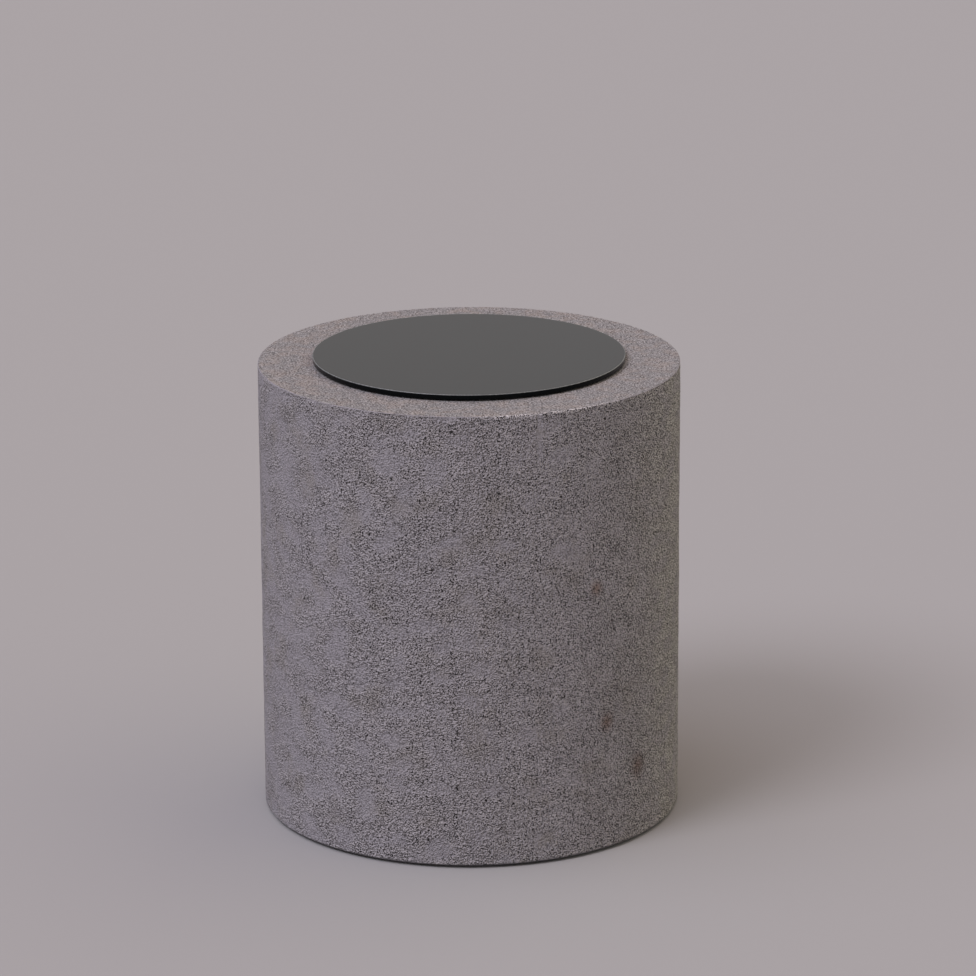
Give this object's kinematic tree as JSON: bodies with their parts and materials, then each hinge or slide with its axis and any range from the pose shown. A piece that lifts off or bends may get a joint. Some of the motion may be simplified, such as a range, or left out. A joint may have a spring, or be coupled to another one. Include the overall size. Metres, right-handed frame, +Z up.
{
  "type": "drum side table",
  "caption": "Upright hollow drum of rough cast stone with a smooth flat top, a loose round black glass plate on it, and screw-down levelling feet underneath.",
  "frame": {"origin": "on the floor, at the centre of the drum", "axes": "+Z up along the drum's axis; a levelling foot stands on +X, +Y, -X and -Y"},
  "size_m": [0.405, 0.405, 0.45],
  "materials": {
    "cast_stone": "rough trowelled side, smooth fine-sanded top",
    "black_glass": "polished, with a ground and polished edge",
    "clear_polymer": "clear soft polymer",
    "zinc_steel": "bright zinc plating",
    "brass": "machined",
    "nylon": "moulded, matt"
  },
  "bodies": {
    "drum": {"drum_shell": "cast_stone", "glass_bumper_1": "clear_polymer", "glass_bumper_2": "clear_polymer", "glass_bumper_3": "clear_polymer", "glass_bumper_4": "clear_polymer", "threaded_insert_1": "brass", "threaded_insert_2": "brass", "threaded_insert_3": "brass", "threaded_insert_4": "brass", "lock_nut_1": "zinc_steel", "lock_nut_2": "zinc_steel", "lock_nut_3": "zinc_steel", "lock_nut_4": "zinc_steel"},
    "glass": {"glass_top": "black_glass"},
    "foot_1": {"glide_pad_1": "nylon"},
    "foot_2": {"glide_pad_2": "nylon"},
    "foot_3": {"glide_pad_3": "nylon"},
    "foot_4": {"glide_pad_4": "nylon"},
    "stud_1": {"glide_stud_1": "zinc_steel"},
    "stud_2": {"glide_stud_2": "zinc_steel"},
    "stud_3": {"glide_stud_3": "zinc_steel"},
    "stud_4": {"glide_stud_4": "zinc_steel"}
  },
  "joints": [
    {"name": "glass_lift", "type": "slide", "parent": "drum", "child": "glass", "axis": [0, 0, 1], "range_m": [0, 0.1]},
    {"name": "foot_1_height", "type": "slide", "parent": "drum", "child": "foot_1", "axis": [0, 0, -1], "range_m": [0, 0.006]},
    {"name": "foot_2_height", "type": "slide", "parent": "drum", "child": "foot_2", "axis": [0, 0, -1], "range_m": [0, 0.006]},
    {"name": "foot_3_height", "type": "slide", "parent": "drum", "child": "foot_3", "axis": [0, 0, -1], "range_m": [0, 0.006]},
    {"name": "foot_4_height", "type": "slide", "parent": "drum", "child": "foot_4", "axis": [0, 0, -1], "range_m": [0, 0.006]},
    {"name": "stud_1_turn", "type": "hinge", "parent": "foot_1", "child": "stud_1", "pos_m": [0.165, 0, 0], "axis": [0, 0, -1], "range_deg": [0, 1440]},
    {"name": "stud_2_turn", "type": "hinge", "parent": "foot_2", "child": "stud_2", "pos_m": [0, 0.165, 0], "axis": [0, 0, -1], "range_deg": [0, 1440]},
    {"name": "stud_3_turn", "type": "hinge", "parent": "foot_3", "child": "stud_3", "pos_m": [-0.165, 0, 0], "axis": [0, 0, -1], "range_deg": [0, 1440]},
    {"name": "stud_4_turn", "type": "hinge", "parent": "foot_4", "child": "stud_4", "pos_m": [0, -0.165, 0], "axis": [0, 0, -1], "range_deg": [0, 1440]}
  ],
  "couplings": [
    {"joint": "stud_1_turn", "follows": "foot_1_height", "rad_per_m": 4188.8},
    {"joint": "stud_2_turn", "follows": "foot_2_height", "rad_per_m": 4188.8},
    {"joint": "stud_3_turn", "follows": "foot_3_height", "rad_per_m": 4188.8},
    {"joint": "stud_4_turn", "follows": "foot_4_height", "rad_per_m": 4188.8}
  ]
}
